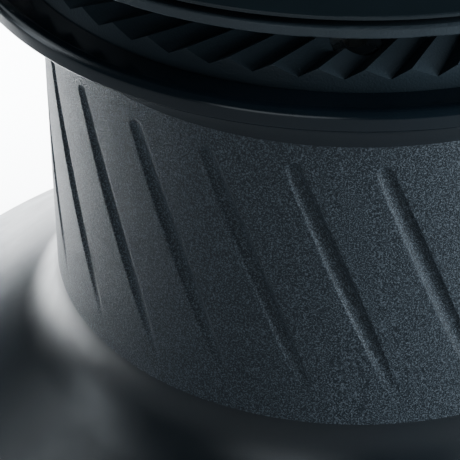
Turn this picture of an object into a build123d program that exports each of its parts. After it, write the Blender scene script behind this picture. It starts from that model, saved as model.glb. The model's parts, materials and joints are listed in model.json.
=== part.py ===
"""Two-speed self-tailing sailboat winch, about the size class of a 46.

Millimetres. +Z is up along the drum's axis, and the origin is the centre of the face that sits
on the deck. -Y is called the front. Every joint turns about -Z, so a positive angle is
clockwise seen from above, which is the way a winch winds.
"""
import math
import os

from build123d import *
from build123d.topology import SkipClean

# ---------------------------------------------------------------- driving dimensions
# Drum, outside
DRUM_R = 49.0              # gripping wall, at its foot
DRUM_TOP_R = 48.7          # gripping wall, at its top
GRIP_STEP = 0.15           # the sandblasted wall stands this proud of the skirt
GRIP_Z0 = 72.0             # foot of the gripping wall
GRIP_Z1 = 121.5            # top of the gripping wall
SKIRT_R = 93.5
SKIRT_SLOPE = 35.0         # degrees below level
SKIRT_FOOT_FILLET = 16.0
SKIRT_SHOULDER_FILLET = 9.0
SKIRT_Z0 = 6.2             # lower edge of the skirt
WALL = 5.0                 # skirt thickness
LIP_R = 60.2
LIP_Z0 = 131.1
LIP_Z1 = 134.2
LIP_FILLET = 9.6           # flare from the wall out to the lip
DISH_Z = 133.3             # flat dish inside the lip

DRUM_SECTORS = 12

# Drum, inside
BORE_R = 42.0
SEAT_Z = 128.0             # seat of the lower crown
ROOF_Z = 48.0              # clears the stem's flange
RING_SEAT_Z = 41.0         # face that the ring gear is screwed to
RING_SEAT_R = 60.0

# Grip grooves
GROOVE_COUNT = 24
GROOVE_PHASE = -9.8        # degrees from the front towards +X
GROOVE_R = 1.5
GROOVE_Z1 = 117.0          # centre of the ball end
GROOVE_Z0 = 71.6           # the cutter is clear of the wall here
GROOVE_TURN = 20.2         # degrees turned towards +X on the way down
GROOVE_TOP_RADIUS = 49.72  # distance of the cutter's centre from the axis, at the top
GROOVE_END_RADIUS = 50.99  # and at its lower end

# Self-tailing crowns
TOOTH_COUNT = 54
TOOTH_VALLEY_PHASE = -8.15  # degrees from the front towards +X
TOOTH_SWEEP = 34.0          # degrees from radial
TOOTH_DEPTH = 1.8
LOWER_CROWN_R = 53.4
LOWER_CROWN_Z = 137.0       # tooth tips at the edge
LOWER_CROWN_INNER_Z = 140.0
HUB_R = 35.0                # guides the upper crown
HUB_BORE_R = 30.0
HUB_Z1 = 148.2
HUB_Z0 = 121.9
UPPER_TOOTH_DEPTH = 1.4
UPPER_TIP_R = 57.3
UPPER_TIP_Z = 144.25
UPPER_INNER_TIP_Z = 141.4
UPPER_RIM_Z0 = 145.4
UPPER_RIM_Z1 = 147.1
CROWN_TRAVEL = 1.0
KEY_W = 6.0
KEY_R = 37.0
KEY_COUNT = 3

# Crown cover and springs
COVER_EDGE_Z = 148.75
COVER_TOP_Z = 152.2
COVER_TOP_R = 44.0
COVER_BORE_R = 26.0
SPRING_COUNT = 6
SPRING_PCR = 42.0
SPRING_POCKET_R = 2.8
SPRING_Z0 = 144.9
SPRING_Z1 = 150.6
SPRING_R = 2.1
SPRING_WIRE_R = 0.32
SPRING_TURNS = 4.0

# Base and stem
BASE_R = 91.5
BASE_RIM_Z = 5.0
FLOOR_R = 84.0
FLOOR_Z = 8.0
BOLT_PCR = 76.0
BOLT_R = 4.3
BOLT_COUNT = 6
PILLAR_PCR = 46.0
PILLAR_R = 6.0
PILLAR_ANGLES = (125.0, 180.0, 235.0, 290.0)
FLANGE_Z0 = 40.0
FLANGE_Z1 = 46.0
FLANGE_R = 54.0
STEM_R = 36.0
STEM_SHOULDER_Z = 120.0
STEM_STEP_Z = 55.6
NECK_R = 23.0
NECK_BORE_R = 18.0
NECK_TOP_Z = 158.0
STEM_BORE_R = 12.0
HEAD_SEAT_Z = 108.0

# Spindle
SHAFT_R = 9.0
SHAFT_Z0 = 2.0
HEAD_R = 15.5
HEAD_Z0 = 110.2
HEAD_Z1 = 167.0
SOCKET_AF = 17.5
SOCKET_DEPTH = 35.0
RUN = 0.05                 # radial running clearance

# Roller bearings
ROLLER_COUNT = 18
ROLLER_R = 2.97
ROLLER_LENGTH = 12.0
CAGE_HEIGHT = 15.0
LOWER_BEARING_Z = 56.0
UPPER_BEARING_Z = 104.0

# Gear train: stub teeth
MODULE = 2.0
PRESSURE_ANGLE = math.radians(25.0)
ADDENDUM = 0.8 * MODULE
DEDENDUM = 1.05 * MODULE
BACKLASH = 0.20            # taken off each tooth and added to each internal space
SPINDLE_TEETH = 14
IDLER_TEETH = 31           # large gear, carries the low-gear ratchet
HIGH_TEETH = 16
RING_TEETH = 60
LOW_PINION_TEETH = 15
HIGH_PINION_TEETH = 24
GEAR_Z0 = 9.5
GEAR_Z1 = 19.5
PINION_Z0 = 24.0
PINION_Z1 = 37.0
HUB_TOP_Z = 38.3
PIN_R = 5.0
PIN_Z0 = 2.0
PIN_Z1 = 45.0
WASHER_T = 1.4

# Ratchets: pawl pivot radius, length, half thickness, bulb radius
LOW_PAWL = (15.0, 9.5, 1.5, 2.2)
HIGH_PAWL = (11.7, 8.0, 1.3, 1.9)
PAWL_SWING = 18.0          # degrees, folded to engaged
TIP_GAP = 0.25             # from an engaged pawl's end to the tooth face
TOOTH_LAND = 1.2           # degrees of flat on a ratchet tooth
LOW_CARRIER_R = 18.5
LOW_RATCHET = (31, 20.0, 22.4)    # teeth, tip radius, root radius
HIGH_CARRIER_R = 14.8
HIGH_CARRIER_Z = 20.3      # the carrier starts clear above the large gear's teeth
HIGH_NECK_R = 13.6
HIGH_RATCHET = (20, 16.0, 18.0)
LOW_PAWL_ANGLES = (90.0, 90.0 + 15 * 360.0 / 31)
HIGH_PAWL_ANGLES = (150.0, 330.0)
LOW_PAWL_Z = (12.6, 19.0)
HIGH_PAWL_Z = (25.5, 35.5)

# Stripper arm and top cap
ARM_AZIMUTH = 30.0
ARM_Z0 = 153.2
ARM_RING_R = 31.0
ARM_REACH = 71.0
ARM_HALF_WIDTH = 8.0
CAP_Z1 = 168.0
CAP_BORE_R = 16.2

# Derived places
GEAR_DISTANCE = MODULE * (SPINDLE_TEETH + IDLER_TEETH) / 2
HIGH_DISTANCE = MODULE * (RING_TEETH - HIGH_PINION_TEETH) / 2
IDLER_TO_HIGH = MODULE * (IDLER_TEETH + HIGH_TEETH) / 2
HIGH_ANGLE = math.acos(
    (GEAR_DISTANCE**2 + HIGH_DISTANCE**2 - IDLER_TO_HIGH**2) / (2 * GEAR_DISTANCE * HIGH_DISTANCE)
)
LOW_AXIS = Vector(GEAR_DISTANCE, 0, 0)
HIGH_AXIS = Vector(HIGH_DISTANCE * math.cos(HIGH_ANGLE), HIGH_DISTANCE * math.sin(HIGH_ANGLE), 0)


# ---------------------------------------------------------------- helpers
def turned_face(*corners):
    """Half section from corners (radius, height[, fillet])."""
    points = [(c[0], c[1]) for c in corners]
    radii = [c[2] if len(c) > 2 else 0.0 for c in corners]
    return Plane.XZ * make_face(FilletPolyline(*points, radius=radii, close=True))


def turned(*corners):
    """A solid of revolution about Z, from corners (radius, height[, fillet])."""
    return revolve(turned_face(*corners), Axis.Z, 360)


def turned_in_sectors(count, *corners):
    """The same solid, its faces left divided into equal sectors."""
    sector = turned_face(*corners)
    sector = revolve(sector, Axis.Z, 360 / count)
    return sector + [Rot(0, 0, i * 360 / count) * sector for i in range(1, count)]


def rod(radius, z0, z1, at=(0, 0)):
    """An upright cylinder."""
    return Pos(at[0], at[1], z0) * Cylinder(radius, z1 - z0, align=(Align.CENTER, Align.CENTER, Align.MIN))


def tube(outer, inner, z0, z1, at=(0, 0)):
    return rod(outer, z0, z1, at) - rod(inner, z0 - 1, z1 + 1, at)


def around(radius, count, start=0.0):
    """Centres of count equal divisions of a circle."""
    step = 360.0 / count
    return [polar(radius, start + i * step) for i in range(count)]


def polar(radius, degrees):
    angle = math.radians(degrees)
    return (radius * math.cos(angle), radius * math.sin(angle))


def countersunk(thread_r, head_r, head_h, length, socket_af):
    """A countersunk socket screw, its head's face at the origin, pointing down."""
    body = turned(
        (0, 0), (head_r, 0), (head_r, -0.4), (thread_r, -head_h), (thread_r, -length), (0, -length)
    )
    recess = extrude(RegularPolygon(socket_af / 2, 6, major_radius=False), -head_h * 0.7)
    return body - recess


def countersink(thread_r, head_r, head_h, length):
    """The hole that takes a countersunk screw."""
    return turned(
        (0, 1), (head_r, 1), (head_r, -0.4), (thread_r, -head_h), (thread_r, -length), (0, -length)
    )


def placed(shape, points, z):
    return [Pos(x, y, z) * shape for x, y in points]


def extruded(points, z0, z1):
    face = make_face(Polyline(*points, close=True))
    return Pos(0, 0, z0) * extrude(face, z1 - z0)


# ---------------------------------------------------------------- gears
def involute(angle):
    return math.tan(angle) - angle


def gear_points(teeth, tip_r, root_r, gain, phase):
    """Outline of a gear. gain widens every tooth at the pitch circle; phase is in radians."""
    pitch_r = MODULE * teeth / 2
    base_r = pitch_r * math.cos(PRESSURE_ANGLE)
    half_at_pitch = math.pi / (2 * teeth) + gain / (2 * pitch_r)

    def half_angle(radius):
        pressure = math.acos(min(1.0, base_r / radius))
        return half_at_pitch + involute(PRESSURE_ANGLE) - involute(pressure)

    start = max(base_r, root_r)
    flank = [root_r] if root_r < base_r else []
    flank += [start + (tip_r - start) * i / 4 for i in range(5)]
    points = []
    for tooth in range(teeth):
        centre = phase + 2 * math.pi * tooth / teeth
        for side, radii in ((-1, flank), (1, flank[::-1])):
            for radius in radii:
                angle = centre + side * half_angle(radius)
                points.append((radius * math.cos(angle), radius * math.sin(angle)))
    return points


def spur(teeth, phase, z0, z1):
    pitch_r = MODULE * teeth / 2
    points = gear_points(teeth, pitch_r + ADDENDUM, pitch_r - DEDENDUM, -BACKLASH, phase)
    return extruded(points, z0, z1)


def meshed_phase(teeth, phase, other_teeth, direction):
    """Phase of an outside gear that meshes with another in the given direction from it."""
    pitch = 2 * math.pi / teeth
    offset = (phase - direction + pitch / 2) % pitch - pitch / 2
    return direction + math.pi - offset * teeth / other_teeth + math.pi / other_teeth


SPINDLE_PHASE = 0.0
IDLER_PHASE = meshed_phase(SPINDLE_TEETH, SPINDLE_PHASE, IDLER_TEETH, 0.0)
HIGH_DIRECTION = math.atan2(HIGH_AXIS.Y - LOW_AXIS.Y, HIGH_AXIS.X - LOW_AXIS.X)
HIGH_PHASE = meshed_phase(IDLER_TEETH, IDLER_PHASE, HIGH_TEETH, HIGH_DIRECTION)
LOW_PINION_PHASE = 0.0
RING_PITCH = 2 * math.pi / RING_TEETH
RING_OFFSET = (RING_PITCH / 2 - HIGH_ANGLE) % RING_PITCH - RING_PITCH / 2
HIGH_PINION_PHASE = HIGH_ANGLE + RING_OFFSET * RING_TEETH / HIGH_PINION_TEETH


# ---------------------------------------------------------------- ratchets
def pawl_solid(pawl, z0, z1):
    """A pawl lying along +X from its pivot at the origin."""
    _, length, half, bulb = pawl
    finger = extruded([(0, -half), (length, -half), (length, half), (0, half)], z0, z1)
    return rod(bulb, z0, z1) + finger


def pawl_pocket(pawl, carrier_r, z0, z1):
    """Room for a folded pawl, open to the rim of its carrier, and for its spring below it."""
    pivot_r, length, half, bulb = pawl
    room = 0.3
    floor = -half - room
    top = carrier_r - pivot_r + 3
    reach = length + room
    slot = extruded([(1.0, floor), (reach, floor), (reach, top), (1.0, top)], z0, z1)
    nest_end = reach - 1.5
    bed = floor - 1.1
    nest = extruded([(3.0, bed), (nest_end, bed), (nest_end, floor), (3.0, floor)], z0, z1)
    return rod(bulb + RUN, z0, z1) + slot + nest


def pawl_spring(pawl, z0, z1):
    """A bowed leaf spring in the nest under a folded pawl."""
    _, length, half, _ = pawl
    foot = -half - 1.35
    crown = -half - 0.25
    thickness = 0.3
    x0 = 3.1
    x1 = length - 1.3
    middle = (x0 + x1) / 2
    upper = [(x0, foot + thickness), (middle, crown), (x1, foot + thickness)]
    lower = [(x1, foot), (middle, crown - thickness), (x0, foot)]
    return extruded(upper + lower, z0, z1)


def at_pawl(shape, axis, pivot_r, azimuth, mirrored):
    """Moves a pawl shape to its pivot. Its tip points clockwise, or anticlockwise if mirrored."""
    if mirrored:
        shape = mirror(shape, Plane.YZ)
    return Pos(axis.X, axis.Y, 0) * Rot(0, 0, azimuth - 90) * Pos(0, pivot_r, 0) * shape


def tooth_face_angle(radius, pawl):
    """Angle in degrees about the carrier, from a pawl's pivot to the tooth face that it pushes.

    The face lies square to the engaged pawl, so the pawl can swing in and out beside it.
    """
    pivot_r, length, _, _ = pawl
    offset = length + TIP_GAP + pivot_r * math.sin(math.radians(PAWL_SWING))
    return math.degrees(math.asin(offset / radius)) - PAWL_SWING


def ratchet_space(ratchet, pawl, azimuth, mirrored, z0, z1):
    """The toothed hole of an internal ratchet, in step with the engaged pawl at azimuth."""
    teeth, tip_r, root_r = ratchet
    root_angle = tooth_face_angle(root_r, pawl)
    tip_angle = tooth_face_angle(tip_r, pawl)
    sense = 1 if mirrored else -1
    points = []
    for tooth in range(teeth):
        turn = tooth * 360.0 / teeth
        points.append(polar(root_r, azimuth + sense * (turn + root_angle)))
        points.append(polar(tip_r, azimuth + sense * (turn + tip_angle)))
        points.append(polar(tip_r, azimuth + sense * (turn + tip_angle + TOOTH_LAND)))
    return extruded(points, z0, z1)


# ---------------------------------------------------------------- drum and crowns
def skirt_corner_z():
    return GRIP_Z0 - SKIRT_FOOT_FILLET * math.tan(math.radians((90 - SKIRT_SLOPE) / 2))


def skirt_z(radius, depth=0.0):
    """Height of the sloping skirt's surface, or of a surface that lies deeper in it."""
    slope = math.radians(SKIRT_SLOPE)
    outer = skirt_corner_z() - (radius - DRUM_R + GRIP_STEP) * math.tan(slope)
    return outer - depth / math.cos(slope)


def ring_seat_outer_r():
    """Radius at which the skirt's inner face comes down to the ring gear's seat."""
    drop = skirt_z(DRUM_R, WALL) - RING_SEAT_Z
    return DRUM_R + drop / math.tan(math.radians(SKIRT_SLOPE))


def groove_cutter(azimuth):
    """A straight ball-ended cut that leans, and that leaves the wall at its lower end."""
    top = Vector(*polar(GROOVE_TOP_RADIUS, azimuth), GROOVE_Z1)
    end = Vector(*polar(GROOVE_END_RADIUS, azimuth + GROOVE_TURN), GROOVE_Z0)
    run = end - top
    ball = Plane(origin=top, z_dir=Vector(top.X, top.Y, 0)) * Sphere(GROOVE_R)
    cut = extrude(Plane(origin=top, z_dir=run) * Circle(GROOVE_R), run.length)
    return [ball, cut]


def drum():
    """The drum. Its wall stays divided between grooves, which keeps each face simple."""
    with SkipClean():
        return drum_blank() - drum_cuts()


def drum_blank():
    inner_r = SKIRT_R - WALL
    return turned_in_sectors(
        DRUM_SECTORS,
        (inner_r, SKIRT_Z0, 0.8),
        (SKIRT_R, SKIRT_Z0, 1.5),
        (SKIRT_R, skirt_z(SKIRT_R), SKIRT_SHOULDER_FILLET),
        (DRUM_R - GRIP_STEP, skirt_corner_z(), SKIRT_FOOT_FILLET - 0.01),
        (DRUM_R - GRIP_STEP, GRIP_Z0 + 0.05),
        (DRUM_R, GRIP_Z0 + GRIP_STEP),
        (DRUM_TOP_R, LIP_Z0, LIP_FILLET),
        (LIP_R, LIP_Z0, 0.5),
        (LIP_R, LIP_Z1, 1.2),
        (LIP_R - 1.8, LIP_Z1, 0.4),
        (LIP_R - 2.5, DISH_Z, 0.3),
        (LOWER_CROWN_R + 0.2, DISH_Z),
        (LOWER_CROWN_R + 0.2, SEAT_Z),
        (BORE_R, SEAT_Z),
        (BORE_R, ROOF_Z, 1.0),
        (RING_SEAT_R, ROOF_Z, 2.0),
        (RING_SEAT_R, RING_SEAT_Z),
        (ring_seat_outer_r(), RING_SEAT_Z),
        (inner_r, skirt_z(inner_r, WALL), 5.0),
    )


def drum_cuts():
    tools = []
    for i in range(GROOVE_COUNT):
        tools += groove_cutter(-90 + GROOVE_PHASE + i * 360 / GROOVE_COUNT)
    tools += [rod(2.0, SEAT_Z - 11, SEAT_Z + 1, p) for p in crown_screw_points()]
    tools += [rod(1.5, RING_SEAT_Z - 1, RING_SEAT_Z + 5, p) for p in ring_screw_points()]
    return tools


def ring_screw_points():
    return around(69.3, 8, 22.5)


def crown_screw_points():
    return around(45.4, 6, 30.0)


def cover_screw_points():
    return around((HUB_R + HUB_BORE_R) / 2, 6, 0.0)


def ring_gear():
    tip_r = MODULE * RING_TEETH / 2 - ADDENDUM
    root_r = MODULE * RING_TEETH / 2 + DEDENDUM
    blank = turned(
        (57.0, PINION_Z0),
        (66.5, PINION_Z0, 0.6),
        (66.5, PINION_Z1, 0.0),
        (72.4, PINION_Z1, 0.5),
        (72.4, RING_SEAT_Z),
        (60.2, RING_SEAT_Z),
        (60.2, PINION_Z1 + 0.6),
        (57.0, PINION_Z1 + 0.6),
    )
    spaces = extruded(
        gear_points(RING_TEETH, root_r, tip_r, BACKLASH, 0.0),
        PINION_Z0 - 1,
        PINION_Z1 + 0.1,
    )
    eye = rod(tip_r + 1.9, PINION_Z1 + 0.05, RING_SEAT_Z + 1)
    holes = placed(Rot(180, 0, 0) * countersink(1.5, 2.9, 1.7, 6), ring_screw_points(), PINION_Z1)
    return blank - spaces - eye - holes


def ring_gear_screws():
    screw = Rot(180, 0, 0) * countersunk(1.5, 2.9, 1.7, 8.0, 2.0)
    return placed(screw, ring_screw_points(), PINION_Z1)


def tooth_cutters(edge_r, tip_z, inner_r, inner_z, depth, upward):
    """V-shaped cuts, swept from radial, between the ridges of a crown."""
    half_width = math.pi * edge_r / TOOTH_COUNT * 0.97
    over = 1.0
    slope = (inner_z - tip_z) / (edge_r - inner_r) * math.cos(math.radians(TOOTH_SWEEP))
    start_r = edge_r + 3.0
    length = 24.0
    sign = 1 if upward else -1
    cutters = []
    for i in range(TOOTH_COUNT):
        azimuth = -90 + TOOTH_VALLEY_PHASE + i * 360 / TOOTH_COUNT
        edge = Vector(*polar(edge_r, azimuth), tip_z)
        heading = math.radians(azimuth + 180 - TOOTH_SWEEP)
        run = Vector(math.cos(heading), math.sin(heading), slope).normalized()
        side = Vector(-math.sin(heading), math.cos(heading), 0)
        plane = Plane(origin=edge - run * (start_r - edge_r), x_dir=side, z_dir=run)
        rise = 1 if plane.y_dir.Z > 0 else -1
        up = sign * rise
        wide = half_width * (1 + over / depth)
        points = [(-wide, up * over), (0, -up * depth), (wide, up * over)]
        cutters.append(extrude(plane * make_face(Polyline(*points, close=True)), length))
    return cutters


def lower_crown():
    body = turned(
        (HUB_BORE_R, HUB_Z0),
        (BORE_R - 0.1, HUB_Z0),
        (BORE_R - 0.1, SEAT_Z),
        (LOWER_CROWN_R, SEAT_Z),
        (LOWER_CROWN_R, LOWER_CROWN_Z),
        (HUB_R, LOWER_CROWN_INNER_Z, 1.0),
        (HUB_R, HUB_Z1),
        (HUB_BORE_R, HUB_Z1, 0.4),
    )
    keys = [
        Rot(0, 0, a * 360 / KEY_COUNT) * Pos(HUB_R - 1, 0, 144.5) * Box(4, KEY_W, 2 * (HUB_Z1 - 144.5))
        for a in range(KEY_COUNT)
    ]
    cuts = tooth_cutters(
        LOWER_CROWN_R, LOWER_CROWN_Z, HUB_R, LOWER_CROWN_INNER_Z, TOOTH_DEPTH, True
    )
    holes = [rod(2.1, SEAT_Z - 1, 150, p) for p in crown_screw_points()]
    holes += [rod(3.6, 133.0, 142, p) for p in crown_screw_points()]
    holes += [rod(1.5, HUB_Z1 - 7, HUB_Z1 + 1, p) for p in cover_screw_points()]
    return body - cuts + keys - holes


def lower_crown_screws():
    shank = rod(2.0, SEAT_Z - 10, 133.0)
    head = rod(3.5, 133.0, 136.4) - extruded(
        [polar(1.75, 60 * i) for i in range(6)], 134.4, 137
    )
    return placed(shank + head, crown_screw_points(), 0)


def upper_crown():
    bore = HUB_R + 0.3
    body = turned(
        (bore, UPPER_INNER_TIP_Z),
        (UPPER_TIP_R, UPPER_TIP_Z),
        (LIP_R - 1.6, UPPER_RIM_Z0),
        (LIP_R, UPPER_RIM_Z0, 0.3),
        (LIP_R, UPPER_RIM_Z1, 0.4),
        (bore, UPPER_RIM_Z1),
    )
    cuts = tooth_cutters(
        UPPER_TIP_R, UPPER_TIP_Z, bore, UPPER_INNER_TIP_Z, UPPER_TOOTH_DEPTH, False
    )
    cuts += [
        Rot(0, 0, a * 360 / KEY_COUNT) * Pos(KEY_R - 2, 0, 144.5) * Box(5, KEY_W + 0.6, 12)
        for a in range(KEY_COUNT)
    ]
    cuts += [rod(SPRING_POCKET_R, SPRING_Z0, 150, p) for p in spring_points()]
    return body - cuts


def spring_points():
    return around(SPRING_PCR, SPRING_COUNT, 15.0)


def crown_springs():
    """Coil springs between the cover and the upper crown."""
    height = SPRING_Z1 - SPRING_Z0 - 2 * SPRING_WIRE_R - 0.06
    path = Helix(height / SPRING_TURNS, height, SPRING_R)
    section = Plane(origin=path @ 0, z_dir=path % 0) * Circle(SPRING_WIRE_R)
    coil = Pos(0, 0, SPRING_Z0 + SPRING_WIRE_R + 0.03) * sweep(section, path)
    return placed(coil, spring_points(), 0)


def crown_cover():
    body = turned(
        (COVER_BORE_R, HUB_Z1),
        (LIP_R, HUB_Z1),
        (LIP_R, COVER_EDGE_Z, 0.2),
        (COVER_TOP_R, COVER_TOP_Z, 6.0),
        (COVER_BORE_R, COVER_TOP_Z, 0.6),
    )
    holes = placed(countersink(1.6, 3.0, 1.8, 5), cover_screw_points(), COVER_TOP_Z)
    pockets = [rod(SPRING_POCKET_R, HUB_Z1 - 1, SPRING_Z1, p) for p in spring_points()]
    return body - holes - pockets


def cover_screws():
    return placed(countersunk(1.5, 2.95, 1.8, 10.0, 2.0), cover_screw_points(), COVER_TOP_Z - 0.05)


# ---------------------------------------------------------------- base and stem
def pillar_points():
    return [polar(PILLAR_PCR, a) for a in PILLAR_ANGLES]


def pin_points():
    return [(LOW_AXIS.X, LOW_AXIS.Y), (HIGH_AXIS.X, HIGH_AXIS.Y)]


def base_plate():
    plate = turned(
        (0, 0),
        (BASE_R, 0, 0.5),
        (BASE_R, BASE_RIM_Z, 1.5),
        (FLOOR_R, BASE_RIM_Z, 1.0),
        (FLOOR_R, FLOOR_Z, 1.0),
        (0, FLOOR_Z),
    )
    pillars = [
        Pos(x, y, 0) * turned((0, 1), (9, 1), (9, FLOOR_Z + 3, 2), (PILLAR_R, FLOOR_Z + 6, 2),
                              (PILLAR_R, FLANGE_Z0), (0, FLANGE_Z0))
        for x, y in pillar_points()
    ]
    bosses = [rod(9.0, 4.0, FLOOR_Z + 2.0, p) for p in around(BOLT_PCR, BOLT_COUNT, 30.0)]
    inside = [b & rod(FLOOR_R, 0, 20) for b in bosses]
    holes = [rod(BOLT_R, -1, 20, p) for p in around(BOLT_PCR, BOLT_COUNT, 30.0)]
    holes += [rod(3.0, FLANGE_Z0 - 18, FLANGE_Z0 + 1, p) for p in pillar_points()]
    holes += [rod(PIN_R, PIN_Z0, 20, p) for p in pin_points()]
    holes += [rod(11.5, 1.2, 20)]
    holes += [
        Rot(0, 0, a) * Pos(BASE_R - 8, 0, 0) * Box(30, 7, 3) for a in (0, 60, 120, 180, 240, 300)
    ]
    return plate + pillars + inside - holes


def center_stem():
    body = turned(
        (STEM_BORE_R, FLANGE_Z0),
        (FLANGE_R, FLANGE_Z0, 0.6),
        (FLANGE_R, FLANGE_Z1, 0.6),
        (STEM_R + 3, FLANGE_Z1, 1.0),
        (STEM_R + 3, STEM_STEP_Z, 0.4),
        (STEM_R, STEM_STEP_Z),
        (STEM_R, STEM_SHOULDER_Z, 0.8),
        (NECK_R, STEM_SHOULDER_Z, 1.0),
        (NECK_R, NECK_TOP_Z, 0.3),
        (NECK_BORE_R, NECK_TOP_Z),
        (NECK_BORE_R, HEAD_SEAT_Z),
        (STEM_BORE_R, HEAD_SEAT_Z),
    )
    holes = placed(countersink(3.0, 5.6, 3.4, 8), pillar_points(), FLANGE_Z1)
    holes += [rod(PIN_R, FLANGE_Z0 - 1, FLANGE_Z1 + 1, p) for p in pin_points()]
    holes += [rod(1.25, NECK_TOP_Z - 8, NECK_TOP_Z + 1, p) for p in cap_screw_points()]
    holes += arm_lugs(0.0, ARM_Z0, NECK_TOP_Z + 1)
    return body - holes


def arm_lugs(clearance, z0, z1):
    """Two lugs that key the stripper arm to the stem's neck."""
    width = 6.0 - 2 * clearance
    lug = Pos(NECK_R + 0.25, 0, (z0 + z1) / 2) * Box(5.5, width, z1 - z0)
    return [Rot(0, 0, ARM_AZIMUTH + a) * lug for a in (90, 270)]


def cap_screw_points():
    return around((NECK_R + NECK_BORE_R) / 2, 4, ARM_AZIMUTH + 45)


def stem_screws():
    return placed(countersunk(3.0, 5.5, 3.4, 22.0, 4.0), pillar_points(), FLANGE_Z1)


def gear_pins():
    return [turned((0, PIN_Z0), (PIN_R, PIN_Z0, 0.4), (PIN_R, PIN_Z1, 0.4), (0, PIN_Z1)).moved(
        Location((x, y, 0))) for x, y in pin_points()]


def gear_washers():
    floors = [tube(9.0, PIN_R + 0.1, FLOOR_Z, FLOOR_Z + WASHER_T, p) for p in pin_points()]
    tops = [tube(9.0, PIN_R + 0.1, FLANGE_Z0 - WASHER_T, FLANGE_Z0, p) for p in pin_points()]
    return floors + tops


def spindle_lower_bush():
    return tube(11.5, SHAFT_R + RUN, 1.2, FLOOR_Z + 1.0)


def stem_lower_bush():
    return tube(STEM_BORE_R, SHAFT_R + RUN, FLANGE_Z0 + 1, FLANGE_Z0 + 16)


def spindle_upper_bush():
    return tube(NECK_BORE_R, HEAD_R + RUN, 134.0, 152.0)


def spindle_thrust_washer():
    return tube(NECK_BORE_R - 0.2, SHAFT_R + 0.4, HEAD_SEAT_Z, HEAD_Z0 - 0.1)


def bearing_spacer():
    return tube(STEM_R + 3.6, STEM_R, LOWER_BEARING_Z + CAGE_HEIGHT + 0.6, UPPER_BEARING_Z - 0.6)


def drum_thrust_washer():
    return tube(STEM_R - 0.4, NECK_R + 3, STEM_SHOULDER_Z, HUB_Z0 - 0.1)


def stripper_arm():
    """Ring on the neck, beam over the crowns, guide outside them and finger in the jaw."""
    ring = turned(
        (NECK_R, ARM_Z0), (ARM_RING_R, ARM_Z0, 0.6), (ARM_RING_R, NECK_TOP_Z), (NECK_R, NECK_TOP_Z)
    )
    side = FilletPolyline(
        (26, NECK_TOP_Z), (ARM_REACH, NECK_TOP_Z), (ARM_REACH + 1.5, 126), (67, 121), (63, 125),
        (62.4, 137), (62.4, ARM_Z0), (26, ARM_Z0),
        radius=[0, 7, 4, 3, 5, 1, 2.5, 0], close=True,
    )
    beam = extrude(Plane.XZ * make_face(side), ARM_HALF_WIDTH, both=True)
    outline = FilletPolyline(
        (20, -11), (44, -ARM_HALF_WIDTH), (66, -ARM_HALF_WIDTH), (75, -5),
        (75, 5), (66, ARM_HALF_WIDTH), (44, ARM_HALF_WIDTH), (20, 11),
        radius=[0, 20, 6, 4, 4, 6, 20, 0], close=True,
    )
    plan = Pos(0, 0, 110) * extrude(make_face(outline), 60)
    tongue = FilletPolyline(
        (65, -6.5), (48, -5.5), (43.5, 1.0), (65, 6.5), radius=[0, 4, 1.2, 0], close=True
    )
    finger = Pos(0, 0, 139.2) * extrude(make_face(tongue), 2.6)
    arm = (beam & plan) + finger
    arm = Rot(0, 0, ARM_AZIMUTH) * (arm - rod(NECK_R + 1, 150, 160))
    return ring + arm + arm_lugs(0.05, ARM_Z0, NECK_TOP_Z)


def arm_washer():
    return tube(ARM_RING_R - 0.5, NECK_R + 0.3, COVER_TOP_Z + 0.1, ARM_Z0)


def top_cap():
    body = turned(
        (CAP_BORE_R, NECK_TOP_Z),
        (ARM_RING_R, NECK_TOP_Z),
        (ARM_RING_R, 161.0, 3.0),
        (26.5, CAP_Z1, 3.0),
        (CAP_BORE_R, CAP_Z1, 0.8),
    )
    holes = placed(countersink(1.6, 3.1, 1.8, 12), cap_screw_points(), CAP_Z1)
    return body - holes


def cap_screws():
    return placed(countersunk(1.25, 3.0, 1.8, 17.0, 2.0), cap_screw_points(), CAP_Z1 - 0.05)


# ---------------------------------------------------------------- spindle
def main_spindle():
    body = turned(
        (0, SHAFT_Z0),
        (SHAFT_R, SHAFT_Z0, 0.6),
        (SHAFT_R, HEAD_Z0),
        (HEAD_R, HEAD_Z0, 0.6),
        (HEAD_R, HEAD_Z1, 0.8),
        (0, HEAD_Z1),
    )
    square = Box(SOCKET_AF, SOCKET_AF, SOCKET_DEPTH, align=(Align.CENTER, Align.CENTER, Align.MAX))
    sockets = [Pos(0, 0, HEAD_Z1 + 0.01) * Rot(0, 0, a) * square for a in (0, 45)]
    keyway = Pos(-SHAFT_R, 0, (GEAR_Z0 + GEAR_Z1) / 2) * Box(3.6, 4, GEAR_Z1 - GEAR_Z0 - 1)
    groove = tube(SHAFT_R + 1, SHAFT_R - 0.8, GEAR_Z1 + 0.1, GEAR_Z1 + 1.4)
    return body - sockets - keyway - groove


def spindle_gear():
    blank = spur(SPINDLE_TEETH, SPINDLE_PHASE, GEAR_Z0, GEAR_Z1)
    keyway = Pos(-SHAFT_R, 0, (GEAR_Z0 + GEAR_Z1) / 2) * Box(3.6, 4, GEAR_Z1 - GEAR_Z0 + 2)
    return blank - rod(SHAFT_R, 0, 30) - keyway


def spindle_key():
    return Pos(-SHAFT_R, 0, (GEAR_Z0 + GEAR_Z1) / 2) * Box(3.6, 4, GEAR_Z1 - GEAR_Z0 - 1)


def spindle_circlip():
    clip = tube(SHAFT_R + 1.6, SHAFT_R - 0.8, GEAR_Z1 + 0.15, GEAR_Z1 + 1.35)
    return clip - Pos(SHAFT_R + 3, 0, GEAR_Z1) * Box(10, 7, 6)


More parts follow.
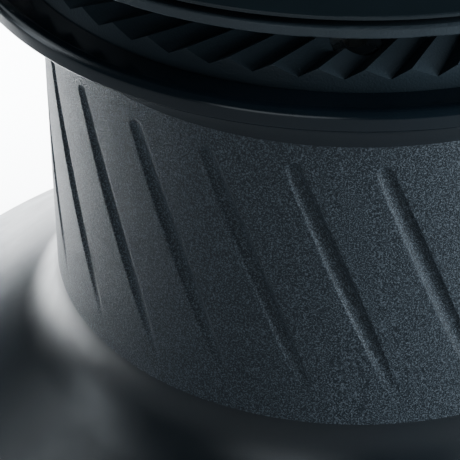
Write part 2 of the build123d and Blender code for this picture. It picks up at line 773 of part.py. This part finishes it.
# ---------------------------------------------------------------- gears on the pins
def idler_gear():
    """Large gear with the low gear's internal ratchet."""
    blank = Pos(LOW_AXIS) * spur(IDLER_TEETH, IDLER_PHASE, GEAR_Z0, GEAR_Z1)
    web_top = 12.0
    space = Pos(LOW_AXIS) * ratchet_space(
        LOW_RATCHET, LOW_PAWL, LOW_PAWL_ANGLES[0], True, web_top, GEAR_Z1 + 1
    )
    return blank - space - rod(PIN_R + RUN, 0, 30, (LOW_AXIS.X, LOW_AXIS.Y))


def low_pinion():
    """Low-gear pinion, whose hub carries the pawls inside the large gear."""
    at = (LOW_AXIS.X, LOW_AXIS.Y)
    z0 = 12.2
    z1 = GEAR_Z1
    teeth = Pos(LOW_AXIS) * spur(LOW_PINION_TEETH, LOW_PINION_PHASE, PINION_Z0, PINION_Z1)
    body = rod(LOW_CARRIER_R, z0, z1, at) + rod(12.0, z1, PINION_Z0, at) + teeth
    body += rod(9.0, PINION_Z1, HUB_TOP_Z, at)
    pocket = pawl_pocket(LOW_PAWL, LOW_CARRIER_R, LOW_PAWL_Z[0] - 0.2, LOW_PAWL_Z[1] + 2)
    pockets = [at_pawl(pocket, LOW_AXIS, LOW_PAWL[0], a, True) for a in LOW_PAWL_ANGLES]
    lid = tube(LOW_CARRIER_R, 11.9, LOW_PAWL_Z[1] + 0.2, z1, at)
    return body - pockets + lid - rod(PIN_R + RUN, 0, 45, at)


def high_gear():
    """High-gear wheel, whose hub carries the pawls inside the high pinion."""
    at = (HIGH_AXIS.X, HIGH_AXIS.Y)
    teeth = Pos(HIGH_AXIS) * spur(HIGH_TEETH, HIGH_PHASE, GEAR_Z0, GEAR_Z1)
    body = teeth + rod(HIGH_NECK_R, GEAR_Z1 - 1, HIGH_CARRIER_Z + 1, at)
    body += rod(HIGH_CARRIER_R, HIGH_CARRIER_Z, HUB_TOP_Z, at)
    pocket = pawl_pocket(HIGH_PAWL, HIGH_CARRIER_R, HIGH_PAWL_Z[0] - 0.2, HIGH_PAWL_Z[1] + 0.2)
    pockets = [at_pawl(pocket, HIGH_AXIS, HIGH_PAWL[0], a, False) for a in HIGH_PAWL_ANGLES]
    return body - pockets - rod(PIN_R + RUN, 0, 45, at)


def high_pinion():
    """High-gear pinion, with its internal ratchet."""
    blank = Pos(HIGH_AXIS) * spur(HIGH_PINION_TEETH, HIGH_PINION_PHASE, PINION_Z0, PINION_Z1)
    at = (HIGH_AXIS.X, HIGH_AXIS.Y)
    space = Pos(HIGH_AXIS) * ratchet_space(
        HIGH_RATCHET, HIGH_PAWL, HIGH_PAWL_ANGLES[0], False, PINION_Z0 + 1.2, PINION_Z1 - 1.2
    )
    return blank - space - rod(HIGH_CARRIER_R + RUN, 0, 45, at)


def low_pawl(azimuth):
    shape = pawl_solid(LOW_PAWL, *LOW_PAWL_Z)
    return at_pawl(shape, LOW_AXIS, LOW_PAWL[0], azimuth, True)


def high_pawl(azimuth):
    shape = Rot(0, 0, PAWL_SWING) * pawl_solid(HIGH_PAWL, *HIGH_PAWL_Z)
    return at_pawl(shape, HIGH_AXIS, HIGH_PAWL[0], azimuth, False)


def low_pawl_springs():
    shape = pawl_spring(LOW_PAWL, LOW_PAWL_Z[0] + 1, LOW_PAWL_Z[1] - 1)
    return [at_pawl(shape, LOW_AXIS, LOW_PAWL[0], a, True) for a in LOW_PAWL_ANGLES]


def high_pawl_springs():
    shape = pawl_spring(HIGH_PAWL, HIGH_PAWL_Z[0] + 2, HIGH_PAWL_Z[1] - 2)
    return [at_pawl(shape, HIGH_AXIS, HIGH_PAWL[0], a, False) for a in HIGH_PAWL_ANGLES]


# ---------------------------------------------------------------- roller bearings
def roller_points():
    return around((STEM_R + BORE_R) / 2, ROLLER_COUNT)


def bearing_cage(z0):
    middle = (STEM_R + BORE_R) / 2
    ring = tube(middle + 2.1, middle - 2.1, z0, z0 + CAGE_HEIGHT)
    pocket_z = z0 + (CAGE_HEIGHT - ROLLER_LENGTH) / 2 - 0.1
    pockets = [
        rod(ROLLER_R + 0.08, pocket_z, pocket_z + ROLLER_LENGTH + 0.2, p) for p in roller_points()
    ]
    return ring - pockets


def bearing_rollers(z0):
    start = z0 + (CAGE_HEIGHT - ROLLER_LENGTH) / 2
    roller = rod(ROLLER_R, start, start + ROLLER_LENGTH)
    return placed(roller, roller_points(), 0)


# ---------------------------------------------------------------- build
PARTS = {
    "base_plate": base_plate,
    "center_stem": center_stem,
    "stem_screws": stem_screws,
    "gear_pins": gear_pins,
    "gear_washers": gear_washers,
    "spindle_lower_bush": spindle_lower_bush,
    "stem_lower_bush": stem_lower_bush,
    "spindle_upper_bush": spindle_upper_bush,
    "spindle_thrust_washer": spindle_thrust_washer,
    "bearing_spacer": bearing_spacer,
    "drum_thrust_washer": drum_thrust_washer,
    "stripper_arm": stripper_arm,
    "arm_washer": arm_washer,
    "top_cap": top_cap,
    "cap_screws": cap_screws,
    "drum": drum,
    "ring_gear": ring_gear,
    "ring_gear_screws": ring_gear_screws,
    "lower_crown": lower_crown,
    "lower_crown_screws": lower_crown_screws,
    "upper_crown": upper_crown,
    "crown_springs": crown_springs,
    "crown_cover": crown_cover,
    "cover_screws": cover_screws,
    "main_spindle": main_spindle,
    "spindle_gear": spindle_gear,
    "spindle_key": spindle_key,
    "spindle_circlip": spindle_circlip,
    "idler_gear": idler_gear,
    "low_pinion": low_pinion,
    "low_pawl_a": lambda: low_pawl(LOW_PAWL_ANGLES[0]),
    "low_pawl_b": lambda: low_pawl(LOW_PAWL_ANGLES[1]),
    "low_pawl_springs": low_pawl_springs,
    "high_gear": high_gear,
    "high_pinion": high_pinion,
    "high_pawl_a": lambda: high_pawl(HIGH_PAWL_ANGLES[0]),
    "high_pawl_b": lambda: high_pawl(HIGH_PAWL_ANGLES[1]),
    "high_pawl_springs": high_pawl_springs,
    "lower_bearing_cage": lambda: bearing_cage(LOWER_BEARING_Z),
    "lower_bearing_rollers": lambda: bearing_rollers(LOWER_BEARING_Z),
    "upper_bearing_cage": lambda: bearing_cage(UPPER_BEARING_Z),
    "upper_bearing_rollers": lambda: bearing_rollers(UPPER_BEARING_Z),
}


def main():
    os.makedirs("parts", exist_ok=True)
    for name, make in PARTS.items():
        shape = make()
        if isinstance(shape, list):
            shape = Compound(children=shape)
        export_step(shape, "parts/" + name + ".step")


main()
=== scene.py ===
import json
import math

import bpy
import numpy as np
from mathutils import Matrix, Vector


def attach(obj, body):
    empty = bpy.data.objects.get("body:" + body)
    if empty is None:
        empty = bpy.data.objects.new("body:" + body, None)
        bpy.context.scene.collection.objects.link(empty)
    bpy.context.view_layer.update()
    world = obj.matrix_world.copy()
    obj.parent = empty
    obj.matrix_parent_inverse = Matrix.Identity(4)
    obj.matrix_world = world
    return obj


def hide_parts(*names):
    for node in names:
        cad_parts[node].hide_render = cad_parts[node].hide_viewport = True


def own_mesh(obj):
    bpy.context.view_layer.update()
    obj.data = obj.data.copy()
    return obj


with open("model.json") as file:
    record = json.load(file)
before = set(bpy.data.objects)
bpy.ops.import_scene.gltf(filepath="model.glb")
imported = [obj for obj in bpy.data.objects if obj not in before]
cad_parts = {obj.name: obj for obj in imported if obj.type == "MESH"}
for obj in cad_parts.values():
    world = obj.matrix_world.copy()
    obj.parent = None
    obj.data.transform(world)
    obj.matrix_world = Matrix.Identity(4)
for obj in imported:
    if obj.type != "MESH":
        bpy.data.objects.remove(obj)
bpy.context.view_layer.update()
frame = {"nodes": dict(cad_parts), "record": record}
NODES = frame["nodes"]
MM = 0.001

# ---------------------------------------------------------------- sizes, in millimetres
DRUM_R = 49.0
DRUM_TOP_R = 48.7
GRIP_STEP = 0.15           # how far the gripping wall stands out from the skirt's top
GRIP_STEP_Z = 0.05         # height above GRIP_Z0 at which that step begins
GRIP_Z0 = 72.0
SKIRT_R = 93.5
SKIRT_SLOPE = math.radians(35.0)
SKIRT_FOOT_FILLET = 16.0
SKIRT_SHOULDER_FILLET = 9.0
SKIRT_Z0 = 6.2
WALL = 5.0
LIP_R = 60.2
LIP_Z0 = 131.1
LIP_Z1 = 134.2
LIP_FILLET = 9.6
LIP_TOP_WIDTH = 1.8
LIP_INNER_STEP = 2.5
DISH_Z = 133.3
DISH_R = 53.6
SEAT_Z = 128.0
BORE_R = 42.0
ROOF_Z = 48.0
RING_SEAT_Z = 41.0
RING_SEAT_R = 60.0

GROOVE_COUNT = 24
GROOVE_PHASE = -9.8
GROOVE_R = 1.5
GROOVE_Z1 = 117.0
GROOVE_Z0 = 71.6
GROOVE_TURN = 20.2
GROOVE_TOP_RADIUS = 49.72
GROOVE_END_RADIUS = 50.99
GROOVE_SHARE = 0.85        # the visible cut's share of the straight cutter's depth
GROOVE_EASE = 0.10         # rounding of the cut's edge
GROOVE_TAIL = 0.004        # what the rounding leaves outside the cut, taken off
GROOVE_PITCH = 2 * math.pi * DRUM_R / GROOVE_COUNT

ROW_STEP = 0.8             # mesh rows on the gripping wall
BALL_END_STEP = 0.14       # mesh rows at the ball ends of the grooves
BALL_END_BELOW = 1.0
BALL_END_ABOVE = 1.5
BALL_END_GAP = 0.5
WALL_TOP_GAP = 0.3
HALF_COLUMNS = (           # arc distances of mesh columns from a groove's centre line
    0.0, 0.22, 0.44, 0.66, 0.86, 1.0, 1.1, 1.18, 1.26, 1.34, 1.44, 1.6, 2.0, 2.6, 3.4, 4.4, 5.5,
)
ARC_STEP = 4.0             # degrees of a fillet per mesh row
SAME_Z = 1e-6


# ---------------------------------------------------------------- node helpers
def new_material(name):
    """A new material, its node tree and its Principled shader."""
    material = bpy.data.materials.new(name)
    material.use_nodes = True
    tree = material.node_tree
    shader = tree.nodes["Principled BSDF"]
    return material, tree, shader


def place(tree):
    """Object coordinates, in metres."""
    return tree.nodes.new("ShaderNodeTexCoord").outputs["Object"]


def scaled(colour, factor):
    return tuple(c * factor for c in colour)


def noise(tree, vector, scale, detail, roughness=0.55):
    node = tree.nodes.new("ShaderNodeTexNoise")
    node.inputs["Scale"].default_value = scale
    node.inputs["Detail"].default_value = detail
    node.inputs["Roughness"].default_value = roughness
    tree.links.new(vector, node.inputs["Vector"])
    return node.outputs["Fac"]


def ramp(tree, value, *stops):
    """Colour ramp from (position, colour) stops; a colour may be one number."""
    node = tree.nodes.new("ShaderNodeValToRGB")
    elements = node.color_ramp.elements
    while len(elements) < len(stops):
        elements.new(0.5)
    for element, (position, colour) in zip(elements, stops):
        element.position = position
        if not isinstance(colour, tuple):
            colour = (colour, colour, colour)
        element.color = (*colour, 1.0)
    tree.links.new(value, node.inputs["Fac"])
    return node.outputs["Color"]


def bump(tree, height, distance, strength=1.0, normal=None):
    node = tree.nodes.new("ShaderNodeBump")
    node.inputs["Distance"].default_value = distance
    node.inputs["Strength"].default_value = strength
    tree.links.new(height, node.inputs["Height"])
    if normal:
        tree.links.new(normal, node.inputs["Normal"])
    return node.outputs["Normal"]


def turning_lines(tree, scale):
    """Rings round Z, as a lathe leaves them: noise stretched along the circumference."""
    split = tree.nodes.new("ShaderNodeSeparateXYZ")
    tree.links.new(place(tree), split.inputs[0])
    flat = tree.nodes.new("ShaderNodeCombineXYZ")
    tree.links.new(split.outputs["X"], flat.inputs["X"])
    tree.links.new(split.outputs["Y"], flat.inputs["Y"])
    radius = tree.nodes.new("ShaderNodeVectorMath")
    radius.operation = "LENGTH"
    tree.links.new(flat.outputs[0], radius.inputs[0])
    joined = tree.nodes.new("ShaderNodeCombineXYZ")
    tree.links.new(radius.outputs["Value"], joined.inputs["X"])
    tree.links.new(split.outputs["Z"], joined.inputs["Z"])
    return noise(tree, joined.outputs[0], scale, detail=2.0)


# ---------------------------------------------------------------- materials
def black_anodised(name, colour, roughness, grain, lines=0.0, specular=0.5):
    """Hard-anodised aluminium: near black, a fine grain and, if given, faint lathe rings.

    The grain and the lines are heights of relief in millimetres.
    """
    material, tree, shader = new_material(name)
    position = place(tree)
    cloud = noise(tree, position, scale=45.0, detail=4.0)
    tone = ramp(tree, cloud, (0.3, scaled(colour, 0.82)), (0.7, scaled(colour, 1.2)))
    tree.links.new(tone, shader.inputs["Base Color"])
    patches = noise(tree, position, scale=120.0, detail=4.0)
    rough = ramp(tree, patches, (0.3, roughness * 0.9), (0.7, roughness * 1.12))
    tree.links.new(rough, shader.inputs["Roughness"])
    normal = bump(tree, noise(tree, position, scale=3200.0, detail=2.0), grain * MM)
    if lines:
        normal = bump(tree, turning_lines(tree, 1600.0), lines * MM, normal=normal)
    tree.links.new(normal, shader.inputs["Normal"])
    shader.inputs["Metallic"].default_value = 0.0
    shader.inputs["Specular IOR Level"].default_value = specular
    return material


def blasted():
    """Sandblasted, then anodised: fine even tiny pits; their sparkle is painted into the colour,
    painted glints on the raised grain and painted shade in the pits.
    """
    material, tree, shader = new_material("blasted_black")
    position = place(tree)
    pits_and_painted_glints = noise(tree, position, scale=4200.0, detail=2.0, roughness=0.7)
    broad = noise(tree, position, scale=1500.0, detail=2.0, roughness=0.5)
    # painted glints and painted shade: the colour is lighter on the raised grain and darker in the
    # pits, over the grain's own dark tone
    colour = ramp(
        tree, pits_and_painted_glints,
        (0.36, (0.003, 0.006, 0.009)),
        (0.5, (0.014, 0.021, 0.028)),
        (0.64, (0.088, 0.104, 0.120)),
    )
    tree.links.new(colour, shader.inputs["Base Color"])
    tree.links.new(ramp(tree, pits_and_painted_glints, (0.3, 0.40), (0.7, 0.60)), shader.inputs["Roughness"])
    normal = bump(tree, pits_and_painted_glints, distance=0.16 * MM)
    normal = bump(tree, broad, distance=0.05 * MM, strength=0.7, normal=normal)
    tree.links.new(normal, shader.inputs["Normal"])
    shader.inputs["Metallic"].default_value = 0.0
    shader.inputs["Specular IOR Level"].default_value = 0.32
    return material


def metal(name, colour, roughness, lines):
    """Turned metal, slightly uneven in polish, its lathe rings as deep as lines, in mm."""
    material, tree, shader = new_material(name)
    position = place(tree)
    cloud = noise(tree, position, scale=60.0, detail=4.0)
    tone = ramp(tree, cloud, (0.3, scaled(colour, 0.88)), (0.7, colour))
    tree.links.new(tone, shader.inputs["Base Color"])
    patches = noise(tree, position, scale=260.0, detail=5.0)
    rough = ramp(tree, patches, (0.3, roughness * 0.8), (0.75, roughness * 1.3))
    tree.links.new(rough, shader.inputs["Roughness"])
    tree.links.new(bump(tree, turning_lines(tree, 2400.0), lines * MM), shader.inputs["Normal"])
    shader.inputs["Metallic"].default_value = 1.0
    return material


def plastic(name, colour, roughness):
    """Machined acetal, with faint lathe rings."""
    material, tree, shader = new_material(name)
    position = place(tree)
    cloud = noise(tree, position, scale=90.0, detail=3.0)
    tone = ramp(tree, cloud, (0.3, scaled(colour, 0.9)), (0.7, colour))
    tree.links.new(tone, shader.inputs["Base Color"])
    tree.links.new(bump(tree, turning_lines(tree, 2000.0), 0.012 * MM), shader.inputs["Normal"])
    shader.inputs["Roughness"].default_value = roughness
    return material


BLASTED = blasted()
SATIN = black_anodised(
    "satin_black", (0.004, 0.007, 0.010),
    roughness=0.34, grain=0.008, lines=0.003, specular=0.4,
)
LIP = black_anodised(
    "lip_black", (0.004, 0.008, 0.012),
    roughness=0.20, grain=0.006, lines=0.003, specular=0.3,
)
CROWN = black_anodised(
    "crown_black", (0.018, 0.027, 0.034),
    roughness=0.42, grain=0.06, specular=0.4,
)
COVER = black_anodised(
    "cover_black", (0.008, 0.014, 0.018),
    roughness=0.36, grain=0.02, lines=0.006, specular=0.35,
)
CASTING = black_anodised("casting_black", (0.02, 0.022, 0.027), roughness=0.5, grain=0.05)
STAINLESS = metal("stainless_turned", (0.60, 0.60, 0.59), roughness=0.26, lines=0.006)
SPINDLE = metal("spindle_polished", (0.66, 0.66, 0.67), roughness=0.14, lines=0.003)
BRONZE = metal("aluminium_bronze", (0.62, 0.42, 0.20), roughness=0.30, lines=0.008)
GEAR_STEEL = metal("gear_steel", (0.40, 0.41, 0.42), roughness=0.34, lines=0.008)
SPRING = metal("spring_wire", (0.50, 0.50, 0.51), roughness=0.30, lines=0.002)
ACETAL_BLACK = plastic("acetal_black", (0.022, 0.022, 0.024), roughness=0.42)
ACETAL_WHITE = plastic("acetal_natural", (0.80, 0.79, 0.75), roughness=0.38)

FINISH = {
    "black_aluminium": CASTING,
    "blasted_aluminium": SATIN,
    "crown_black": CROWN,
    "cover_black": COVER,
    "stainless": STAINLESS,
    "spindle_steel": SPINDLE,
    "bronze": BRONZE,
    "gear_steel": GEAR_STEEL,
    "acetal_black": ACETAL_BLACK,
    "acetal_white": ACETAL_WHITE,
    "spring_steel": SPRING,
}
for part in frame["record"]["subparts"]:
    for material_slot in NODES[part["node"]].material_slots:
        material_slot.material = FINISH[part["material_slot"]]


# ---------------------------------------------------------------- lathe work
def rounded(corners):
    """Closed outline of (radius, height) points from corners (radius, height[, fillet])."""
    outline = []
    count = len(corners)
    for i, corner in enumerate(corners):
        here = np.array(corner[:2], float)
        fillet = corner[2] if len(corner) > 2 else 0.0
        if not fillet:
            outline.append(tuple(here))
            continue
        before = np.array(corners[i - 1][:2], float) - here
        after = np.array(corners[(i + 1) % count][:2], float) - here
        before /= np.linalg.norm(before)
        after /= np.linalg.norm(after)
        turn = math.acos(float(np.clip(before @ after, -1, 1)))
        reach = fillet / math.tan(turn / 2)
        middle = before + after
        centre = here + middle / np.linalg.norm(middle) * fillet / math.sin(turn / 2)
        start = here + before * reach - centre
        end = here + after * reach - centre
        sweep = math.atan2(start[0] * end[1] - start[1] * end[0], float(start @ end))
        steps = max(3, math.ceil(abs(math.degrees(sweep)) / ARC_STEP))
        for k in range(steps + 1):
            angle = sweep * k / steps
            c, s = math.cos(angle), math.sin(angle)
            radius = centre[0] + c * start[0] - s * start[1]
            outline.append((radius, centre[1] + s * start[0] + c * start[1]))
    return outline


def mesh_piece(name, vertices, quads, materials, body, replaced):
    """A piece that stands for a CAD node, which it hides, and rides on its body."""
    mesh = bpy.data.meshes.new(name)
    mesh.from_pydata([tuple(v) for v in vertices], [], quads)
    mesh.update()
    piece = bpy.data.objects.new(name, mesh)
    bpy.context.scene.collection.objects.link(piece)
    for material in materials:
        mesh.materials.append(material)
    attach(piece, body)
    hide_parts(replaced)
    return piece


def shade(piece, angle):
    """Smooth shading, with edges sharper than the angle kept."""
    mesh = piece.data
    mesh.shade_smooth()
    mesh.set_sharp_from_angle(angle=math.radians(angle))


# ---------------------------------------------------------------- drum
def skirt_corner_z():
    """Height at which the sloping skirt would meet the wall without its fillet."""
    return GRIP_Z0 - SKIRT_FOOT_FILLET * math.tan((math.pi / 2 - SKIRT_SLOPE) / 2)


def skirt_z(radius, depth=0.0):
    """Height of the skirt's sloping face, or of the face that lies depth below it."""
    outer = skirt_corner_z() - (radius - DRUM_R + GRIP_STEP) * math.tan(SKIRT_SLOPE)
    return outer - depth / math.cos(SKIRT_SLOPE)


def drum_profile():
    """The drum's section, from the skirt's foot up the outside and down the inside."""
    inner_r = SKIRT_R - WALL
    seat_r = DRUM_R + (skirt_z(DRUM_R, WALL) - RING_SEAT_Z) / math.tan(SKIRT_SLOPE)
    return rounded((
        (inner_r, SKIRT_Z0, 0.8),
        (SKIRT_R, SKIRT_Z0, 1.5),
        (SKIRT_R, skirt_z(SKIRT_R), SKIRT_SHOULDER_FILLET),
        (DRUM_R - GRIP_STEP, skirt_corner_z(), SKIRT_FOOT_FILLET - 0.01),
        (DRUM_R - GRIP_STEP, GRIP_Z0 + GRIP_STEP_Z),
        (DRUM_R, GRIP_Z0 + GRIP_STEP),
        (DRUM_TOP_R, LIP_Z0, LIP_FILLET),
        (LIP_R, LIP_Z0, 0.5),
        (LIP_R, LIP_Z1, 1.2),
        (LIP_R - LIP_TOP_WIDTH, LIP_Z1, 0.4),
        (LIP_R - LIP_INNER_STEP, DISH_Z, 0.3),
        (DISH_R, DISH_Z),
        (DISH_R, SEAT_Z),
        (BORE_R, SEAT_Z),
        (BORE_R, ROOF_Z, 1.0),
        (RING_SEAT_R, ROOF_Z, 2.0),
        (RING_SEAT_R, RING_SEAT_Z),
        (seat_r, RING_SEAT_Z),
        (inner_r, skirt_z(inner_r, WALL), 5.0),
    ))


def groove_line(z):
    """Turn in radians, and distance from the axis, of the straight cutter's centre at height z."""
    t = min(1.0, max(0.0, (GROOVE_Z1 - z) / (GROOVE_Z1 - GROOVE_Z0)))
    turn = math.radians(GROOVE_TURN)
    x = (1 - t) * GROOVE_TOP_RADIUS + t * GROOVE_END_RADIUS * math.cos(turn)
    y = t * GROOVE_END_RADIUS * math.sin(turn)
    return math.atan2(y, x), math.hypot(x, y)


def groove_depth(across, z, r):
    """Depth of the cut below the wall's radius r, at an arc distance across; its edge is eased."""
    _, centre = groove_line(z)
    lean = math.atan2(DRUM_R * math.radians(GROOVE_TURN), GROOVE_Z1 - GROOVE_Z0)
    above = max(0.0, z - GROOVE_Z1)
    offset = across * math.cos(lean) if above == 0 else across
    inside = GROOVE_R**2 - offset**2 - above**2
    if inside <= 0:
        return 0.0
    depth = math.sqrt(inside) - (centre - r)
    eased = 0.5 * (depth + math.hypot(depth, GROOVE_EASE))
    return max(0.0, GROOVE_SHARE * eased - GROOVE_TAIL)


def wall_heights(top):
    """Rows of the gripping wall, close together at the ball ends of the grooves."""
    fine_z0 = GROOVE_Z1 - BALL_END_BELOW
    fine_z1 = GROOVE_Z1 + BALL_END_ABOVE
    rows = list(np.arange(GRIP_Z0 + ROW_STEP, fine_z0, ROW_STEP))
    rows += list(np.arange(fine_z0, fine_z1, BALL_END_STEP))
    rows += list(np.arange(fine_z1 + BALL_END_GAP, top - WALL_TOP_GAP, ROW_STEP))
    return [float(z) for z in rows]


def groove_columns():
    """Arc distances from a groove's centre line to the mesh columns of one pitch."""
    left = [-h for h in HALF_COLUMNS[:0:-1]]
    return left + list(HALF_COLUMNS) + [GROOVE_PITCH / 2]


def first_at(profile, z, after=-1):
    """Index of the first outline point at height z that comes later than after."""
    return next(i for i, p in enumerate(profile) if i > after and abs(p[1] - z) < SAME_Z)


def make_drum():
    """The drum, its mesh columns following the grooves."""
    profile = drum_profile()
    foot_z = GRIP_Z0 + GRIP_STEP
    foot = first_at(profile, foot_z)
    top = profile[foot + 1]
    slope = (top[0] - DRUM_R) / (top[1] - foot_z)
    rows = [(DRUM_R + slope * (z - foot_z), z) for z in wall_heights(top[1])]
    profile = profile[: foot + 1] + rows + profile[foot + 1:]
    wall = range(foot, foot + len(rows) + 2)
    columns = []
    for groove in range(GROOVE_COUNT):
        start = math.radians(-90 + GROOVE_PHASE + groove * 360 / GROOVE_COUNT)
        columns += [(start, across) for across in groove_columns()]
    vertices = []
    for i, (r, z) in enumerate(profile):
        turn, _ = groove_line(z)
        for start, across in columns:
            cut = groove_depth(across, z, r) if i in wall else 0.0
            angle = start + turn + across / DRUM_R
            radius = (r - cut) * MM
            vertices.append((radius * math.cos(angle), radius * math.sin(angle), z * MM))
    width = len(columns)
    quads = []
    for i in range(len(profile)):
        j = (i + 1) % len(profile)
        for c in range(width):
            d = (c + 1) % width
            quads.append((i * width + c, i * width + d, j * width + d, j * width + c))
    piece = mesh_piece("drum_shell", vertices, quads, [SATIN, BLASTED, LIP], "drum", "drum")
    index = np.zeros(len(quads), np.int32)
    index[(foot - 1) * width:wall[-1] * width] = 1
    index[wall[-1] * width:first_at(profile, SEAT_Z, wall[-1]) * width] = 2
    piece.data.polygons.foreach_set("material_index", index)
    shade(piece, 35.0)
    return piece


make_drum()


# ---------------------------------------------------------------- crown springs
COIL_COUNT = 6
COIL_PCR = 42.0
COIL_Z0 = 145.25           # middle of the wire
COIL_HEIGHT = 5.0
COIL_R = 2.1
COIL_WIRE_R = 0.32
COIL_TURNS = 4
COIL_STEPS = 24            # mesh steps to a turn
COIL_PHASE = 15.0
WIRE_SIDES = 8


def make_crown_springs():
    """The coil springs over the upper crown, which it squeezes as it lifts."""
    along = COIL_STEPS * COIL_TURNS
    vertices = []
    quads = []
    for coil in range(COIL_COUNT):
        azimuth = math.radians(COIL_PHASE + coil * 360 / COIL_COUNT)
        centre = Vector((COIL_PCR * math.cos(azimuth), COIL_PCR * math.sin(azimuth), COIL_Z0))
        first = len(vertices)
        for i in range(along + 1):
            turn = 2 * math.pi * COIL_TURNS * i / along
            outward = Vector((math.cos(turn), math.sin(turn), 0))
            middle = centre + COIL_R * outward + Vector((0, 0, COIL_HEIGHT * i / along))
            for k in range(WIRE_SIDES):
                angle = 2 * math.pi * k / WIRE_SIDES
                offset = outward * math.cos(angle) + Vector((0, 0, 1)) * math.sin(angle)
                vertices.append((middle + COIL_WIRE_R * offset) * MM)
        for i in range(along):
            for k in range(WIRE_SIDES):
                a = first + i * WIRE_SIDES + k
                b = first + i * WIRE_SIDES + (k + 1) % WIRE_SIDES
                quads.append((a, a + WIRE_SIDES, b + WIRE_SIDES, b))
        quads.append([first + k for k in range(WIRE_SIDES)])
        quads.append([first + along * WIRE_SIDES + k for k in reversed(range(WIRE_SIDES))])
    piece = mesh_piece("crown_spring_coils", vertices, quads, [SPRING], "drum", "crown_springs")
    shade(piece, 60.0)
    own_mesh(piece)


make_crown_springs()


# ---------------------------------------------------------------- stage, in metres
FLOOR_HALF = 3.0
FLOOR_GREY = 0.82
MIDDLE = (0, 0, 0.09)      # about the middle of the winch
FLOOR_SPOT = (-0.10, 0.19, 0)
COOL = (0.84, 0.93, 1.0)
PALE = (0.93, 0.97, 1.0)
SKY = (0.6, 0.85, 1.0)
SKY_STRENGTH = 0.08


def area_light(name, at, aim, size, power, colour, spread=None):
    """A rectangular soft box in watts, turned towards aim; its spread is in degrees."""
    data = bpy.data.lights.new(name, "AREA")
    data.shape = "RECTANGLE"
    data.size, data.size_y = size
    data.energy = power
    data.color = colour
    if spread:
        data.spread = math.radians(spread)
    lamp = bpy.data.objects.new(name, data)
    lamp.location = at
    lamp.rotation_euler = (Vector(aim) - Vector(at)).to_track_quat("-Z", "Y").to_euler()
    bpy.context.scene.collection.objects.link(lamp)


def make_floor():
    mesh = bpy.data.meshes.new("floor")
    half = FLOOR_HALF
    corners = [(-half, -half, 0), (half, -half, 0), (half, half, 0), (-half, half, 0)]
    mesh.from_pydata(corners, [], [(0, 1, 2, 3)])
    floor = bpy.data.objects.new("floor", mesh)
    bpy.context.scene.collection.objects.link(floor)
    material, _, shader = new_material("pale_floor")
    shader.inputs["Base Color"].default_value = (FLOOR_GREY, FLOOR_GREY, FLOOR_GREY, 1)
    shader.inputs["Roughness"].default_value = 0.7
    mesh.materials.append(material)


def make_world():
    world = bpy.data.worlds.new("studio")
    bpy.context.scene.world = world
    world.use_nodes = True
    background = world.node_tree.nodes["Background"]
    background.inputs["Color"].default_value = (*SKY, 1)
    background.inputs["Strength"].default_value = SKY_STRENGTH


make_floor()
area_light(
    "floor_box", at=(-0.10, 0.19, 0.95), aim=FLOOR_SPOT, size=(0.12, 0.12),
    power=3.2, colour=PALE, spread=26,
)
area_light(
    "left_box", at=(-0.85, 0.02, 0.34), aim=MIDDLE, size=(0.22, 0.6),
    power=1.7, colour=COOL,
)
area_light(
    "front_box", at=(-0.30, -0.85, 0.22), aim=MIDDLE, size=(0.5, 0.3),
    power=1.3, colour=COOL,
)
area_light(
    "fill_box", at=(-0.75, 0.22, 0.62), aim=MIDDLE, size=(0.4, 0.4),
    power=1.0, colour=COOL,
)
area_light(
    "right_box", at=(0.85, -0.26, 0.30), aim=MIDDLE, size=(0.35, 0.7),
    power=15.0, colour=COOL,
)
make_world()

# ---------------------------------------------------------------- camera
CAMERA_DISTANCE = 7.988 * DRUM_R * MM     # from the middle of the foot of the gripping wall
CAMERA_ELEVATION = math.radians(35.35)
CAMERA_YAW = math.radians(2.98)           # to the left of the drum's axis
CAMERA_PITCH = math.radians(0.09)
CAMERA_ROLL = math.radians(-0.98)
CAMERA_LENS = 183.7
SENSOR_WIDTH = 36.0


def make_camera():
    """A camera in front, above the winch and looking down at it, then turned, tilted and rolled."""
    target = Vector((0, 0, GRIP_Z0 * MM))
    back = Vector((0, -math.cos(CAMERA_ELEVATION), math.sin(CAMERA_ELEVATION)))
    forward = -back
    right = Vector((1, 0, 0))
    up = right.cross(forward)
    forward, right = (Matrix.Rotation(CAMERA_YAW, 3, up) @ v for v in (forward, right))
    forward = Matrix.Rotation(CAMERA_PITCH, 3, right) @ forward
    up = right.cross(forward)
    right, up = (Matrix.Rotation(CAMERA_ROLL, 3, forward) @ v for v in (right, up))
    data = bpy.data.cameras.new("camera")
    data.sensor_width = SENSOR_WIDTH
    data.lens = CAMERA_LENS
    data.clip_start = 0.01
    camera = bpy.data.objects.new("camera", data)
    turn = Matrix((right, up, -forward)).transposed().to_4x4()
    camera.matrix_world = Matrix.Translation(target + back * CAMERA_DISTANCE) @ turn
    bpy.context.scene.collection.objects.link(camera)
    bpy.context.scene.camera = camera


make_camera()
